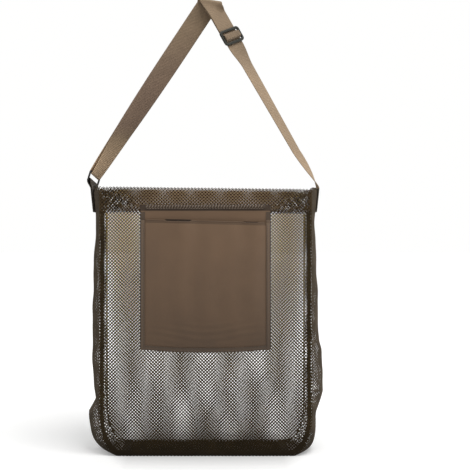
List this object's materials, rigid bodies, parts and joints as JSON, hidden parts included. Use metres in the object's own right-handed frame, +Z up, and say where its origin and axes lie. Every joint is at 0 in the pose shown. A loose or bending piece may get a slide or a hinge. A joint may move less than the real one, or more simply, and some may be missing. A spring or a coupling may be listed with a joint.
{
  "type": "foraging bag",
  "caption": "Tall open-topped netting tote with a cloth patch pocket, bowed side gussets, a flat base and an adjustable webbing shoulder strap on a wire ring.",
  "frame": {"origin": "on the floor, under the middle of the base panel", "axes": "+Z up, -Y out of the front panel that carries the pocket, +X to the right seen from the front"},
  "size_m": [0.362, 0.0993, 0.6983],
  "materials": {
    "netting": "matte knotless netting",
    "hem_netting": "matte netting, doubled",
    "binding_tape": "matte woven tape",
    "pocket_cloth": "plain-weave nylon with a satin sheen",
    "pocket_edging": "folded nylon with stitching",
    "webbing": "ribbed webbing",
    "tab_webbing": "ribbed webbing",
    "slider_plastic": "moulded, satin",
    "ring_wire": "black coated wire"
  },
  "bodies": {
    "bag": {"front_net_panel": "netting", "back_net_panel": "netting", "left_gusset": "netting", "right_gusset": "netting", "base_panel": "netting", "front_hem": "hem_netting", "back_hem": "hem_netting", "left_hem": "hem_netting", "right_hem": "hem_netting", "front_seam_binding": "binding_tape", "back_seam_binding": "binding_tape", "left_base_binding": "binding_tape", "right_base_binding": "binding_tape", "pocket_backing": "pocket_cloth", "pocket_front": "pocket_cloth", "pocket_mouth_hem": "pocket_cloth", "pocket_left_binding": "pocket_edging", "pocket_right_binding": "pocket_edging", "pocket_bottom_hem": "pocket_edging", "pocket_top_binding": "pocket_edging", "ring_tab": "tab_webbing", "strap_right_end": "webbing"},
    "ring": {"strap_ring": "ring_wire"},
    "strap": {"strap_main": "webbing", "strap_return": "webbing", "strap_ring_loop": "webbing", "strap_right_root": "webbing"},
    "slider": {"slider_frame": "slider_plastic", "slider_bight": "webbing", "slider_end_loop": "webbing"}
  },
  "joints": [
    {"name": "strap_swing", "type": "hinge", "parent": "bag", "child": "strap", "pos_m": [0, 0, 0.432], "axis": [1, 0, 0], "range_deg": [-105, 105], "deforming": ["strap_ring_loop", "strap_right_root"]},
    {"name": "ring_turn", "type": "hinge", "parent": "bag", "child": "ring", "pos_m": [-0.17485, 0, 0.412], "axis": [0.2488, 0.9285, -0.2756], "range_deg": [-10, 10]},
    {"name": "slider_slide", "type": "slide", "parent": "strap", "child": "slider", "axis": [-0.4963, -0.0153, 0.868], "range_m": [0, 0.024]}
  ]
}
